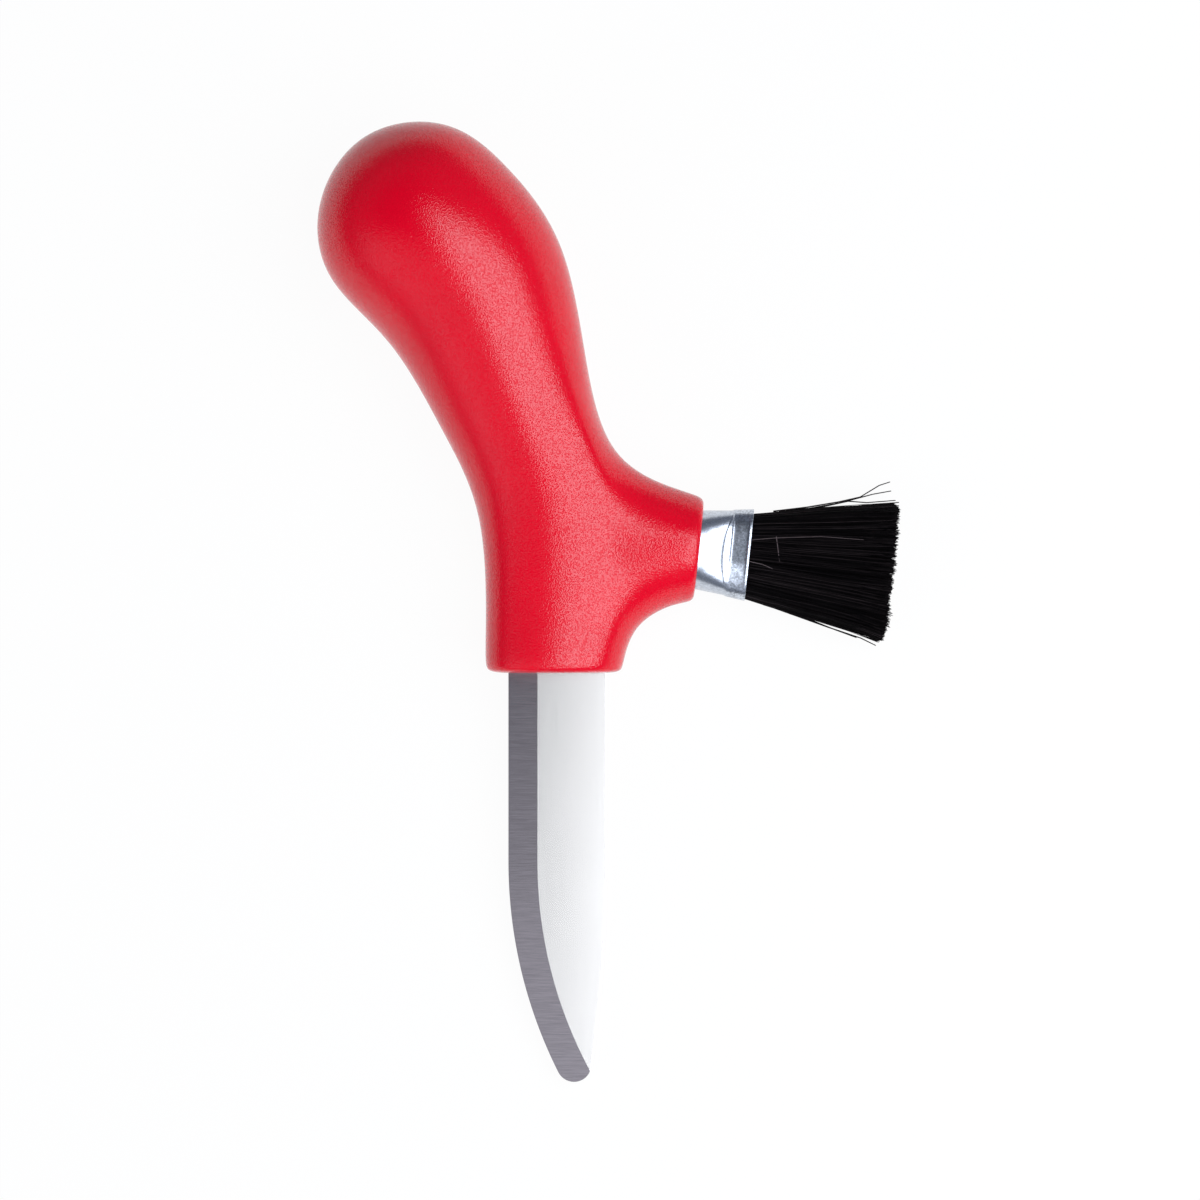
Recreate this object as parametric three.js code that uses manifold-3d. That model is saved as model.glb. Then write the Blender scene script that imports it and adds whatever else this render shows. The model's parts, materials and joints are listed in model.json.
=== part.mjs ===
// Mushroom knife: a short blade with a curved edge and a cleaning brush, both set in one moulded handle.
//
// The knife is drawn in its own plane: x points to the brush, y to the round end of the handle and z across
// the blade. The origin is on the handle's end face, where the blade leaves it. The whole knife is then laid
// on the table z = 0, the way it comes to rest there. All sizes are in millimetres, and angles in degrees.

import * as THREE from "three";
import { ConvexHull } from "three/addons/math/ConvexHull.js";
import { mergeVertices } from "three/addons/utils/BufferGeometryUtils.js";
import Module from "manifold-3d";

const wasm = await Module();
wasm.setup();

// Clearance between pieces that touch
const FIT_GAP = 0.3;
// How far a cutter or a root runs past the face that it goes through
const OVERRUN = 1;

// Blade: a steel strip, ground to an edge on the side away from the brush
const BLADE_LENGTH = 70.3;
const BLADE_WIDTH = 16.8;
const BLADE_THICKNESS = 2;
const BLADE_SHIFT = 0.65;
const BLADE_STRAIGHT = 32.5;
const EDGE_THICKNESS = 0.1;
const BEVEL_WIDTH = 5;
const TIP_RADIUS = 3;
const TIP_SHIFT = 2.85;

// Tang: the part of the strip inside the handle, stamped thinner, with holes that the plastic flows through
const TANG_THICKNESS = 1.8;
const TANG_LENGTH = 50;
const TANG_ROOT_WIDTH = 10;
const TANG_END_WIDTH = 7;
const TANG_LEAN = 10;
const TANG_HOLE_RADIUS = 2.2;
const TANG_HOLE_HEIGHTS = [18, 36];

// Handle: a round grip that bends and narrows to a flat end, with a nose on its side for the brush. The pole
// lift draws out the bulb's round end, as a share of its radius.
const HANDLE_LENGTH = 95;
const BULB_RADIUS = 17.7;
const BULB_THICKNESS = 33;
const BULB_POLE_LIFT = 0.27;
const BULB_SHIFT = -23;
const BULB_LEAN = 32;
const SHOULDER_HEIGHT = 64.8;
const SHOULDER_SHIFT = -13.4;
const SHOULDER_LEAN = 28.5;
const SHOULDER_WIDTH = 33.8;
const SHOULDER_THICKNESS = 31;
const WAIST_HEIGHT = 46.8;
const WAIST_SHIFT = -6.5;
const WAIST_LEAN = 22;
const WAIST_WIDTH = 27.3;
const WAIST_THICKNESS = 25;
const NECK_HEIGHT = 27.4;
const NECK_SHIFT = -1.2;
const NECK_LEAN = 9;
const NECK_WIDTH = 23.4;
const NECK_THICKNESS = 20.6;
const END_WIDTH = 23.4;
const END_THICKNESS = 18.6;
const END_ROUNDING = 6;

// Nose: the side branch that holds the brush, pointing a little down towards the blade
const BRUSH_ANGLE = -6;
const NOSE_REACH = 25;
const NOSE_HEIGHT = 21.2;
const NOSE_WIDTH = 18.2;
const NOSE_THICKNESS = 18;
const NOSE_ROUNDING = 3.5;
const NOSE_FLARE = 1;
const NOSE_ROOT_REACH = 11.6;
const NOSE_ROOT_HEIGHT = 22.2;
const NOSE_ROOT_WIDTH = 27.8;
const NOSE_ROOT_THICKNESS = 17.8;
const NOSE_ROOT_ANGLE = 8.5;
const NOSE_SADDLE_THICKNESS = 17.6;

// Brush: a sheet tube, round where it sits in the nose and pressed flat at its mouth, full of hair
const FERRULE_DIAMETER = 13.6;
const FERRULE_WALL = 0.4;
const FERRULE_SEAT = 10;
const FERRULE_REACH = 8.7;
const MOUTH_THICKNESS = 9.6;
const MOUTH_BAND = 2.8;
const SETTING_LENGTH = 4;
const BACKING_LENGTH = 1.4;
const BACKING_INSET = 0.5;
const BRISTLE_LENGTH = 24.4;
const BRISTLE_UNEVENNESS = 1.2;
const BRISTLE_THICKNESS = 0.32;
const BRISTLE_PITCH = 0.5;
const BRISTLE_EDGE = 0.04;
const BRISTLE_TIP_SHARE = 0.7;
const FAN_WIDTH = 25;
const FAN_THICKNESS = 10.5;
const BUNDLE_COUNT = 4;

// Smoothness of the shapes, and rounds of the fits that are worked out in steps
const RING_POINTS = 8;
const SMOOTHING_ROUNDS = 2;
const FIT_PASSES = 30;
const ARC_SEGMENTS = 10;
const SECTION_POINTS = 32;
const BRISTLE_SIDES = 3;
const SETTLE_PASSES = 5;

const MATERIALS = {
  polypropylene: { density: 0.91, color: 0xd8182f, roughness: 0.45, metalness: 0 },
  stainlessSteel: { density: 7.75, color: 0xc9cbce, roughness: 0.22, metalness: 1 },
  tinPlate: { density: 7.8, color: 0xc3cad6, roughness: 0.28, metalness: 1 },
  resin: { density: 1.15, color: 0x8a6a3c, roughness: 0.5, metalness: 0 },
  blackHair: { density: 1.3, color: 0x120f11, roughness: 0.55, metalness: 0 },
};

const radians = THREE.MathUtils.degToRad;

// Solids and meshes

function solidOf(geometry) {
  const bare = geometry.clone();
  bare.deleteAttribute("normal");
  bare.deleteAttribute("uv");
  const merged = mergeVertices(bare);
  const mesh = new wasm.Mesh({
    numProp: 3,
    vertProperties: merged.attributes.position.array,
    triVerts: new Uint32Array(merged.index.array),
  });
  return new wasm.Manifold(mesh);
}

function geometryOf(solid) {
  const { vertProperties, triVerts } = solid.getMesh();
  const geometry = new THREE.BufferGeometry();
  geometry.setAttribute("position", new THREE.BufferAttribute(vertProperties, 3));
  geometry.setIndex(new THREE.BufferAttribute(triVerts, 1));
  return geometry;
}

function indexedGeometry(points, triangles) {
  const geometry = new THREE.BufferGeometry().setFromPoints(points);
  geometry.setIndex(triangles.flat());
  return geometry;
}

function piece(name, solid, materialName) {
  const { density, ...look } = MATERIALS[materialName];
  const mesh = new THREE.Mesh(geometryOf(solid), new THREE.MeshStandardMaterial(look));
  mesh.name = name;
  mesh.userData.density = density;
  return mesh;
}

// A closed skin over rings of equal point counts, with a fan over the first and the last ring.
function loft(rings) {
  const count = rings[0].length;
  const points = rings.flat();
  const triangles = [];
  for (let i = 0; i + 1 < rings.length; i++) {
    for (let k = 0; k < count; k++) {
      const next = (k + 1) % count;
      const [a, b] = [i * count + k, i * count + next];
      triangles.push([a, b, b + count], [a, b + count, a + count]);
    }
  }
  const last = (rings.length - 1) * count;
  for (let k = 1; k + 1 < count; k++) {
    triangles.push([0, k + 1, k], [last, last + k, last + k + 1]);
  }
  return solidOf(indexedGeometry(points, triangles));
}

// A flat outline given a thickness, half of it on each side of the knife's plane.
function plate(shape, thickness) {
  const geometry = new THREE.ExtrudeGeometry(shape, {
    depth: thickness,
    bevelEnabled: false,
    curveSegments: ARC_SEGMENTS,
  });
  return solidOf(geometry.translate(0, 0, -thickness / 2));
}

// Blade and tang

const EDGE_X = BLADE_SHIFT - BLADE_WIDTH / 2;
const SPINE_X = BLADE_SHIFT + BLADE_WIDTH / 2;
const TIP_X = BLADE_SHIFT + TIP_SHIFT;
const CURVED_LENGTH = BLADE_LENGTH - TIP_RADIUS - BLADE_STRAIGHT;

// The tip is a small circle, and the edge and the spine each bend into it along one large arc. This is the
// radius of the arc that leaves a straight line this far beside the circle's centre and runs into the circle.
function arcRadius(side) {
  return (side ** 2 + CURVED_LENGTH ** 2 - TIP_RADIUS ** 2) / (2 * (side - TIP_RADIUS));
}

const EDGE_RADIUS = arcRadius(TIP_X - EDGE_X);
const SPINE_RADIUS = arcRadius(SPINE_X - TIP_X);

function bladeOutline() {
  const edgeCentre = EDGE_X + EDGE_RADIUS;
  const spineCentre = SPINE_X - SPINE_RADIUS;
  const edgeEnd = Math.atan2(-CURVED_LENGTH, TIP_X - edgeCentre);
  const spineStart = Math.atan2(-CURVED_LENGTH, TIP_X - spineCentre);
  const outline = new THREE.Shape();
  outline.moveTo(SPINE_X, -FIT_GAP);
  outline.lineTo(EDGE_X, -FIT_GAP);
  outline.lineTo(EDGE_X, -BLADE_STRAIGHT);
  outline.absarc(edgeCentre, -BLADE_STRAIGHT, EDGE_RADIUS, -Math.PI, edgeEnd);
  outline.absarc(TIP_X, TIP_RADIUS - BLADE_LENGTH, TIP_RADIUS, edgeEnd, spineStart);
  outline.absarc(spineCentre, -BLADE_STRAIGHT, SPINE_RADIUS, spineStart, 0);
  return outline;
}

// What the grinder takes off one side: a wedge swept along the edge, and past it at both ends.
function bevelWaste(side) {
  const edgeHalf = EDGE_THICKNESS / 2;
  const slope = (BLADE_THICKNESS / 2 - edgeHalf) / BEVEL_WIDTH;
  const innermost = BEVEL_WIDTH + OVERRUN;
  const heightAt = (inward) => side * (edgeHalf + slope * inward);
  const wedge = [
    [-OVERRUN, heightAt(-OVERRUN)],
    [innermost, heightAt(innermost)],
    [-OVERRUN, heightAt(innermost)],
  ];
  const sweep = Math.asin((BLADE_LENGTH + OVERRUN - BLADE_STRAIGHT) / (EDGE_RADIUS - BEVEL_WIDTH));
  const rings = [];
  for (let i = -1; i <= 2 * ARC_SEGMENTS; i++) {
    const turn = (Math.max(i, 0) * sweep) / (2 * ARC_SEGMENTS);
    const inward = new THREE.Vector3(Math.cos(turn), Math.sin(turn), 0);
    const onEdge = new THREE.Vector3(EDGE_X + EDGE_RADIUS, i < 0 ? OVERRUN : -BLADE_STRAIGHT, 0);
    onEdge.addScaledVector(inward, -EDGE_RADIUS);
    rings.push(wedge.map(([n, z]) => onEdge.clone().addScaledVector(inward, n).setZ(z)));
  }
  return loft(side > 0 ? rings : rings.map((ring) => ring.reverse()));
}

// The tang's outline, grown all round by a clearance for the pocket that it sits in.
function tangOutline(grow) {
  const lean = Math.tan(radians(TANG_LEAN));
  const rootMiddle = SPINE_X - BLADE_WIDTH / 2 + (BEVEL_WIDTH - OVERRUN) / 2;
  const middleAt = (y) => rootMiddle - lean * y;
  const halfAt = (y) => THREE.MathUtils.lerp(TANG_ROOT_WIDTH, TANG_END_WIDTH, y / TANG_LENGTH) / 2 + grow;
  const [bottom, top] = [-FIT_GAP - OVERRUN, TANG_LENGTH + grow];
  const outline = new THREE.Shape();
  outline.moveTo(middleAt(bottom) - halfAt(bottom), bottom);
  outline.lineTo(middleAt(bottom) + halfAt(bottom), bottom);
  outline.lineTo(middleAt(top) + halfAt(top), top);
  outline.lineTo(middleAt(top) - halfAt(top), top);
  for (const height of TANG_HOLE_HEIGHTS) {
    const hole = new THREE.Path();
    hole.absarc(middleAt(height), height, TANG_HOLE_RADIUS - grow, 0, 2 * Math.PI, true);
    outline.holes.push(hole);
  }
  return outline;
}

function makeBlade() {
  const strip = plate(bladeOutline(), BLADE_THICKNESS);
  const ground = strip.subtract(bevelWaste(1)).subtract(bevelWaste(-1));
  return piece("blade", ground.add(plate(tangOutline(0), TANG_THICKNESS)), "stainlessSteel");
}

// Handle

// The smoothing pulls a cage ring inwards, and this much swell brings its skin back to the wanted size.
const RING_SWELL = 3 / (2 + Math.cos((2 * Math.PI) / RING_POINTS));

// A section across the handle: its middle, the lean of the handle there, and half its width and thickness.
function section(shift, height, lean, width, thickness) {
  return [shift, height, lean, width / 2, thickness / 2];
}

// Cage rings whose smooth skin passes through the sections. The first and the last ring stay as given.
function cageThrough(sections) {
  const rings = sections.map((values) => [...values]);
  for (let pass = 0; pass < FIT_PASSES; pass++) {
    for (let i = 1; i + 1 < rings.length; i++) {
      rings[i] = rings[i].map((value, k) => {
        const smoothed = (rings[i - 1][k] + 4 * value + rings[i + 1][k]) / 6;
        return value + sections[i][k] - smoothed;
      });
    }
  }
  return rings;
}

// The points of a ring. The first lies on the brush side of the handle, or on the upper side of the nose.
function ringPoints([shift, height, lean, halfWidth, halfThickness]) {
  const across = new THREE.Vector3(Math.cos(radians(lean)), Math.sin(radians(lean)), 0);
  return Array.from({ length: RING_POINTS }, (_, k) => {
    const turn = (2 * Math.PI * k) / RING_POINTS;
    const point = new THREE.Vector3(shift, height, halfThickness * RING_SWELL * Math.sin(turn));
    return point.addScaledVector(across, halfWidth * RING_SWELL * Math.cos(turn));
  });
}

function handleRings() {
  const bulbHeight = HANDLE_LENGTH - BULB_RADIUS;
  const [sin, cos] = [Math.sin(radians(BULB_LEAN)), Math.cos(radians(BULB_LEAN))];
  const onBulb = (turn) => {
    const rise = BULB_RADIUS * Math.cos(turn);
    const share = Math.sin(turn);
    const [x, y] = [BULB_SHIFT - rise * sin, bulbHeight + rise * cos];
    return section(x, y, BULB_LEAN, 2 * BULB_RADIUS * share, BULB_THICKNESS * share);
  };
  const pole = onBulb(0);
  pole[0] -= BULB_POLE_LIFT * BULB_RADIUS * sin;
  pole[1] += BULB_POLE_LIFT * BULB_RADIUS * cos;
  const body = cageThrough([
    pole,
    onBulb(Math.PI / 4),
    onBulb(Math.PI / 2),
    section(SHOULDER_SHIFT, SHOULDER_HEIGHT, SHOULDER_LEAN, SHOULDER_WIDTH, SHOULDER_THICKNESS),
    section(WAIST_SHIFT, WAIST_HEIGHT, WAIST_LEAN, WAIST_WIDTH, WAIST_THICKNESS),
    section(NECK_SHIFT, NECK_HEIGHT, NECK_LEAN, NECK_WIDTH, NECK_THICKNESS),
    section(0, END_ROUNDING, 0, END_WIDTH, END_THICKNESS),
    section(0, 0, 0, END_WIDTH, END_THICKNESS),
  ]);
  const face = section(0, 0, 0, END_WIDTH - 2 * END_ROUNDING, END_THICKNESS - 2 * END_ROUNDING);
  return [...body, face];
}

// The nose runs across the handle, so its sections lean a quarter turn more.
const ACROSS = 90;

function noseRings() {
  const flat = (back, width, thickness) => {
    const x = NOSE_REACH - back * Math.cos(radians(BRUSH_ANGLE));
    const y = NOSE_HEIGHT - back * Math.sin(radians(BRUSH_ANGLE));
    return section(x, y, BRUSH_ANGLE + ACROSS, width, thickness);
  };
  const inset = 2 * NOSE_ROUNDING;
  return [
    section(
      NOSE_ROOT_REACH,
      NOSE_ROOT_HEIGHT,
      NOSE_ROOT_ANGLE + ACROSS,
      NOSE_ROOT_WIDTH,
      NOSE_ROOT_THICKNESS,
    ),
    flat(NOSE_ROUNDING, NOSE_WIDTH + NOSE_FLARE, NOSE_THICKNESS),
    flat(0, NOSE_WIDTH, NOSE_THICKNESS),
    flat(0, NOSE_WIDTH - inset, NOSE_THICKNESS - inset),
  ];
}

// The place of the waist among the rings of the cage, counted from the one next to the pole
const WAIST_RING = 3;

// The coarse cage: rings down the handle, with the four faces between the waist, the neck and the end on the
// brush side drawn out into the nose. The saddle points beside its root keep the skin from sinking in there.
function handleCage() {
  const [pole, ...body] = handleRings();
  const nose = noseRings();
  const points = [...body, ...nose].flatMap(ringPoints);
  const ring = (i) => Array.from({ length: RING_POINTS }, (_, k) => i * RING_POINTS + k);
  const loops = body.map((_, i) => ring(i));
  const [waist, neck, end] = loops.slice(WAIST_RING);
  const last = RING_POINTS - 1;
  const root = [waist[0], waist[1], neck[1], end[1], end[0], end[last], neck[last], waist[last]];
  const noseLoops = [root, ...nose.map((_, i) => ring(body.length + i))];
  for (const saddle of [points[neck[1]], points[neck[last]]]) {
    saddle.setZ((Math.sign(saddle.z) * NOSE_SADDLE_THICKNESS * RING_SWELL) / 2);
  }
  const faces = [];
  const band = (upper, lower, skip = () => false) => {
    for (let k = 0; k < RING_POINTS; k++) {
      const next = (k + 1) % RING_POINTS;
      if (!skip(k)) faces.push([upper[k], upper[next], lower[next], lower[k]]);
    }
  };
  const cap = (loop, middle) => {
    const centre = points.push(middle) - 1;
    for (let k = 0; k < RING_POINTS; k += 2) {
      faces.push([centre, loop[k], loop[k + 1], loop[(k + 2) % RING_POINTS]]);
    }
  };
  const onBrushSide = (k) => k === 0 || k === last;
  for (let i = 0; i + 1 < loops.length; i++) {
    const underNose = i === WAIST_RING || i === WAIST_RING + 1;
    band(loops[i], loops[i + 1], underNose ? onBrushSide : undefined);
  }
  for (let i = 0; i + 1 < noseLoops.length; i++) band(noseLoops[i], noseLoops[i + 1]);
  cap([...loops[0]].reverse(), new THREE.Vector3(pole[0], pole[1], 0));
  cap(loops.at(-1), new THREE.Vector3());
  cap(noseLoops.at(-1), new THREE.Vector3(NOSE_REACH, NOSE_HEIGHT, 0));
  return { points, faces };
}

function middleOf(points) {
  const sum = points.reduce((total, point) => total.add(point), new THREE.Vector3());
  return sum.divideScalar(points.length);
}

// One round of Catmull-Clark smoothing: each face becomes four-sided faces round its middle.
function smoothed({ points, faces }) {
  const edges = new Map();
  const edgeOf = (a, b) => edges.get(Math.min(a, b) * points.length + Math.max(a, b));
  const around = points.map(() => ({ faces: [], edges: [] }));
  const faceMiddles = faces.map((face) => middleOf(face.map((i) => points[i])));
  faces.forEach((face, f) => {
    face.forEach((a, k) => {
      const b = face[(k + 1) % face.length];
      const edge = edgeOf(a, b) ?? { ends: [points[a], points[b]], middles: [] };
      if (!edge.middles.length) {
        edges.set(Math.min(a, b) * points.length + Math.max(a, b), edge);
        around[a].edges.push(edge);
        around[b].edges.push(edge);
      }
      edge.middles.push(faceMiddles[f]);
      around[a].faces.push(faceMiddles[f]);
    });
  });
  const made = points.map((point, i) => {
    const count = around[i].faces.length;
    const edgeMiddle = middleOf(around[i].edges.map((edge) => middleOf(edge.ends)));
    const moved = middleOf(around[i].faces).addScaledVector(edgeMiddle, 2);
    return moved.addScaledVector(point, count - 3).divideScalar(count);
  });
  for (const edge of edges.values()) edge.index = made.push(middleOf([...edge.ends, ...edge.middles])) - 1;
  const quads = faces.flatMap((face, f) => {
    const centre = made.push(faceMiddles[f]) - 1;
    return face.map((corner, k) => {
      const before = face[(k + face.length - 1) % face.length];
      const after = face[(k + 1) % face.length];
      return [corner, edgeOf(corner, after).index, centre, edgeOf(before, corner).index];
    });
  });
  return { points: made, faces: quads };
}

function handleSkin() {
  let cage = handleCage();
  for (let round = 0; round < SMOOTHING_ROUNDS; round++) cage = smoothed(cage);
  const triangles = cage.faces.flatMap(([a, b, c, d]) => [[a, b, c], [a, c, d]]);
  return solidOf(indexedGeometry(cage.points, triangles));
}

// The blind hole in the nose that the brush is pressed into, in the brush's own frame.
function brushSocket() {
  const depth = FERRULE_SEAT + FIT_GAP;
  const radius = FERRULE_DIAMETER / 2 + FIT_GAP;
  const hole = new THREE.CylinderGeometry(radius, radius, depth + OVERRUN, SECTION_POINTS);
  return hole.rotateZ(-Math.PI / 2).translate((OVERRUN - depth) / 2, 0, 0);
}

function makeHandle(brushPlace) {
  const pocket = plate(tangOutline(FIT_GAP), TANG_THICKNESS + 2 * FIT_GAP);
  const socket = solidOf(brushSocket().applyMatrix4(brushPlace));
  return piece("handle", handleSkin().subtract(pocket).subtract(socket), "polypropylene");
}

// Brush, drawn along x from the nose's face

const ROUND_HALF = FERRULE_DIAMETER / 2;
const MOUTH_HALF = MOUTH_THICKNESS / 2;

// Pressing the tube flat keeps its girth, so a thinner section is a wider one: two half circles with flats
// between them. This is half the length of those flats.
function flatHalf(halfThickness) {
  return (Math.PI / 2) * (ROUND_HALF - halfThickness);
}

function halfThicknessAt(x) {
  const pressed = THREE.MathUtils.smoothstep(x, 0, FERRULE_REACH - MOUTH_BAND);
  return THREE.MathUtils.lerp(ROUND_HALF, MOUTH_HALF, pressed);
}

// The tube's section at x, inset from its outer skin.
function tubeRing(x, inset) {
  const half = halfThicknessAt(x);
  const flat = flatHalf(half);
  return Array.from({ length: SECTION_POINTS }, (_, k) => {
    const turn = (2 * Math.PI * (k + 0.5)) / SECTION_POINTS;
    const [y, z] = [Math.cos(turn), Math.sin(turn)];
    return new THREE.Vector3(x, Math.sign(y) * flat + (half - inset) * y, (half - inset) * z);
  });
}

function tubeLoft(from, to, inset) {
  const stations = [from];
  const pressedStep = (FERRULE_REACH - MOUTH_BAND) / ARC_SEGMENTS;
  for (let i = 0; i <= ARC_SEGMENTS; i++) {
    const x = i * pressedStep;
    if (x > from && x < to) stations.push(x);
  }
  return loft([...stations, to].map((x) => tubeRing(x, inset)));
}

function makeFerrule() {
  const bore = tubeLoft(-FERRULE_SEAT - OVERRUN, FERRULE_REACH + OVERRUN, FERRULE_WALL);
  return piece("brush_ferrule", tubeLoft(-FERRULE_SEAT, FERRULE_REACH, 0).subtract(bore), "tinPlate");
}

const BACKING_TOP = FERRULE_REACH - BACKING_INSET;
const BACKING_BOTTOM = BACKING_TOP - BACKING_LENGTH;
const HAIR_INSET = FERRULE_WALL + FIT_GAP;

function makeSetting() {
  const top = BACKING_BOTTOM - FIT_GAP;
  return piece("brush_setting", tubeLoft(top - SETTING_LENGTH, top, HAIR_INSET), "resin");
}

// One hair: a thin tapered prism from its root in the backing to its tip.
function bristle(root, tip) {
  const along = new THREE.Vector3().subVectors(tip, root).normalize();
  const turnTo = new THREE.Quaternion().setFromUnitVectors(new THREE.Vector3(1, 0, 0), along);
  const ring = (middle, radius) => Array.from({ length: BRISTLE_SIDES }, (_, k) => {
    const turn = (2 * Math.PI * k) / BRISTLE_SIDES;
    const spoke = new THREE.Vector3(0, radius * Math.cos(turn), radius * Math.sin(turn));
    return spoke.applyQuaternion(turnTo).add(middle);
  });
  const radius = BRISTLE_THICKNESS / 2;
  return loft([ring(root, radius), ring(tip, radius * BRISTLE_TIP_SHARE)]);
}

// Where the hairs of one bundle stand on the mouth: a staggered grid inside the bundle's share of its width.
function bristleRoots(low, high) {
  const margin = BRISTLE_THICKNESS / 2 + BRISTLE_EDGE;
  const [flat, round] = [flatHalf(MOUTH_HALF), MOUTH_HALF - HAIR_INSET - margin];
  const rowStep = BRISTLE_PITCH * Math.sin(Math.PI / 3);
  const rows = Math.floor(round / rowStep);
  const roots = [];
  for (let row = -rows; row <= rows; row++) {
    const z = row * rowStep;
    const reach = flat + Math.sqrt(round ** 2 - z ** 2);
    const columns = Math.ceil(reach / BRISTLE_PITCH);
    for (let column = -columns; column <= columns; column++) {
      const y = (column + (row % 2 ? 0.5 : 0)) * BRISTLE_PITCH;
      if (Math.abs(y) <= reach && y >= low + margin && y <= high - margin) roots.push([y, z]);
    }
  }
  return roots;
}

function makeBristles() {
  const mouthHalfWidth = flatHalf(MOUTH_HALF) + MOUTH_HALF - HAIR_INSET;
  const spread = FAN_WIDTH / 2 / mouthHalfWidth;
  const spreadThickness = FAN_THICKNESS / 2 / (MOUTH_HALF - HAIR_INSET);
  const share = (2 * mouthHalfWidth) / BUNDLE_COUNT;
  const backing = tubeLoft(BACKING_BOTTOM, BACKING_TOP, HAIR_INSET);
  const golden = (Math.sqrt(5) - 1) / 2;
  return Array.from({ length: BUNDLE_COUNT }, (_, bundle) => {
    const low = bundle * share - mouthHalfWidth + (bundle ? FIT_GAP / 2 : 0);
    const high = (bundle + 1) * share - mouthHalfWidth - (bundle + 1 < BUNDLE_COUNT ? FIT_GAP / 2 : 0);
    const window = new THREE.BoxGeometry(BACKING_LENGTH + OVERRUN, high - low, MOUTH_THICKNESS);
    window.translate((BACKING_BOTTOM + BACKING_TOP) / 2, (low + high) / 2, 0);
    const slice = backing.intersect(solidOf(window));
    const hairs = bristleRoots(low, high).map(([y, z], i) => {
      const short = BRISTLE_UNEVENNESS * ((i * golden) % 1);
      const root = new THREE.Vector3(BACKING_TOP - BACKING_LENGTH / 2, y, z);
      const tip = new THREE.Vector3(FERRULE_REACH + BRISTLE_LENGTH - short, y * spread, z * spreadThickness);
      return bristle(root, tip);
    });
    const solid = hairs.reduce((whole, hair) => whole.add(hair), slice);
    return piece(`bristles_${bundle + 1}`, solid, "blackHair");
  });
}

// Assembly

const brush = new THREE.Group();
brush.position.set(NOSE_REACH, NOSE_HEIGHT, 0);
brush.rotation.z = radians(BRUSH_ANGLE);
brush.updateMatrix();
brush.add(makeFerrule(), makeSetting(), ...makeBristles());

const knife = new THREE.Group();
knife.add(makeHandle(brush.matrix), makeBlade(), brush);

// Six times a mesh's mass, and that mass times its centre, in the knife's frame.
function weigh(mesh) {
  const geometry = mesh.geometry.clone().applyMatrix4(mesh.matrixWorld);
  const { index, attributes } = geometry;
  const corner = (i) => new THREE.Vector3().fromBufferAttribute(attributes.position, index.getX(i));
  const moment = new THREE.Vector3();
  let mass = 0;
  for (let i = 0; i < index.count; i += 3) {
    const [a, b, c] = [corner(i), corner(i + 1), corner(i + 2)];
    const weight = mesh.userData.density * a.dot(b.clone().cross(c));
    mass += weight;
    moment.addScaledVector(a.add(b).add(c), weight / 4);
  }
  return { mass, moment };
}

// Lays the knife down: it rests on the face of its hull that its weight presses through. Then its footprint
// is centred on the origin.
function layOnTable(group) {
  group.updateMatrixWorld(true);
  const weights = [];
  group.traverse((object) => object.isMesh && weights.push(weigh(object)));
  const balance = new THREE.Vector3();
  for (const { moment } of weights) balance.add(moment);
  balance.divideScalar(weights.reduce((total, { mass }) => total + mass, 0));
  const hull = new ConvexHull().setFromObject(group);
  const depth = (face, down) => (face.constant - face.normal.dot(balance)) / face.normal.dot(down);
  let down = new THREE.Vector3(0, 0, -1);
  for (let pass = 0; pass < SETTLE_PASSES; pass++) {
    const below = hull.faces.filter((face) => face.normal.dot(down) > 0);
    const resting = below.reduce((best, face) => (depth(face, down) < depth(best, down) ? face : best));
    down = resting.normal.clone();
  }
  group.quaternion.setFromUnitVectors(down, new THREE.Vector3(0, 0, -1));
  group.updateMatrixWorld(true);
  const box = new THREE.Box3().setFromObject(group, true);
  const middle = box.getCenter(new THREE.Vector3());
  group.position.set(-middle.x, -middle.y, -box.min.z);
}

layOnTable(knife);

const part = new THREE.Group();
part.add(knife);

export default part;
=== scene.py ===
"""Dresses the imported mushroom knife: the moulded handle, the ground blade and the brush, on a pale stage."""

import json
import math
import random

import bmesh
import bpy
from bpy.props import FloatProperty, FloatVectorProperty, IntProperty, PointerProperty
from mathutils import Matrix, Vector


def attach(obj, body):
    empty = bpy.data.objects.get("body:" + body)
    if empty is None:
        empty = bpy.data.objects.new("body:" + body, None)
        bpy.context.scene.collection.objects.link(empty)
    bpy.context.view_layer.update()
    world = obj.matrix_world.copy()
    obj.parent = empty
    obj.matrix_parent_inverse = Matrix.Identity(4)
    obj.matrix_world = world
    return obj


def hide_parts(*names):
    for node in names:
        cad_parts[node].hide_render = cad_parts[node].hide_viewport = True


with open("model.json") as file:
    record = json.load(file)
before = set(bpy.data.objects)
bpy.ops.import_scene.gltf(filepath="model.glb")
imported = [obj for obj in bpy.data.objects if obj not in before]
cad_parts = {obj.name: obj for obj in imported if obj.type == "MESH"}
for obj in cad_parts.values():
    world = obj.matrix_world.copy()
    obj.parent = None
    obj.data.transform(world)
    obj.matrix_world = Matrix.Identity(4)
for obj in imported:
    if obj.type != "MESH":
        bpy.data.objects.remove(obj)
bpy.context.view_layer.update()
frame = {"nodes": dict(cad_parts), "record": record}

bl_info = {
    "name": "Mushroom Knife",
    "version": (1, 0, 0),
    "blender": (4, 5, 0),
    "location": "3D View > Sidebar > Knife",
    "description": "Models a mushroom knife with its handle, blade and brush",
    "category": "Object",
}

MM = 0.001
ALONG_Z = Vector((0, 0, 1))
BODY = "root"

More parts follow.
